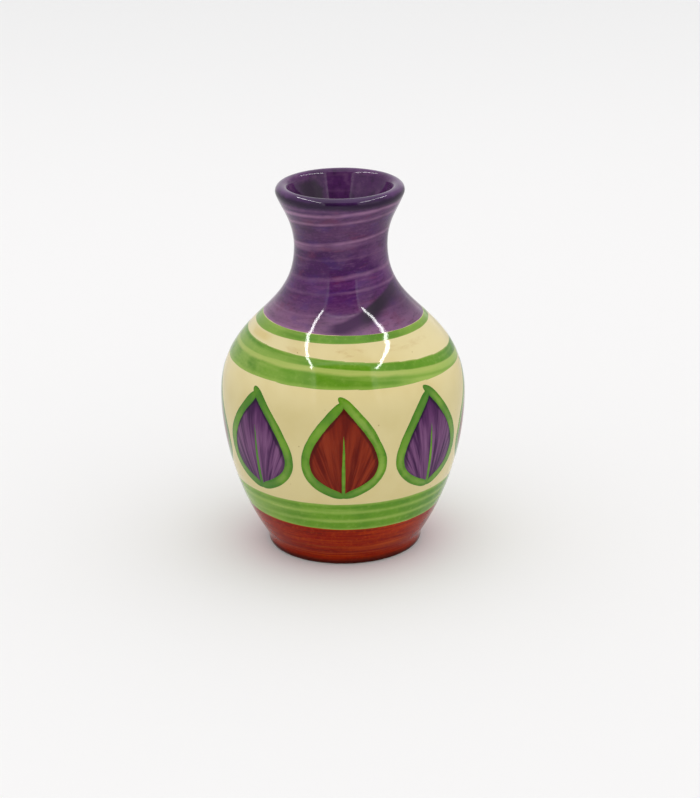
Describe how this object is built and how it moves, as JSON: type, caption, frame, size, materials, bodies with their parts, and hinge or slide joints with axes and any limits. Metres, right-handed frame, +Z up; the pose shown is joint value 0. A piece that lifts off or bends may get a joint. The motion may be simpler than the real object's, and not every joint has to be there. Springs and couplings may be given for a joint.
{
  "type": "ceramic vase",
  "caption": "Small round-bellied ceramic vase with a narrow flared neck, cream glaze, purple, green and red painted bands and a row of painted leaves.",
  "frame": {"origin": "middle of the foot, on the surface that the vase stands on", "axes": "+Z up along the vase's axis to the mouth, -Y to the front, where the first red leaf is, +X to the right as seen from the front"},
  "size_m": [0.046, 0.046, 0.07],
  "materials": {
    "clay": "bare fired earthenware, matte",
    "cream_glaze": "glossy cream glaze with fine brown specks",
    "purple_paint": "glossy brushed purple enamel",
    "dark_purple_paint": "glossy dark purple enamel",
    "green_paint": "glossy brushed leaf-green enamel",
    "red_paint": "glossy brushed brick-red enamel"
  },
  "bodies": {
    "root": {"clay_body": "clay", "base_glaze": "cream_glaze", "liner_glaze": "cream_glaze", "outer_glaze": "cream_glaze", "mouth_band": "purple_paint", "lip_band": "dark_purple_paint", "neck_band": "purple_paint", "shoulder_line": "green_paint", "upper_stroke_1": "green_paint", "upper_stroke_2": "green_paint", "lower_stroke_1": "green_paint", "lower_stroke_2": "green_paint", "lower_stroke_3": "green_paint", "foot_band": "red_paint", "red_leaf_1": "red_paint", "red_leaf_2": "red_paint", "red_leaf_3": "red_paint", "red_leaf_4": "red_paint", "purple_leaf_1": "purple_paint", "purple_leaf_2": "purple_paint", "purple_leaf_3": "purple_paint", "purple_leaf_4": "purple_paint", "leaf_outline_1": "green_paint", "leaf_outline_2": "green_paint", "leaf_outline_3": "green_paint", "leaf_outline_4": "green_paint", "leaf_outline_5": "green_paint", "leaf_outline_6": "green_paint", "leaf_outline_7": "green_paint", "leaf_outline_8": "green_paint"}
  },
  "joints": []
}
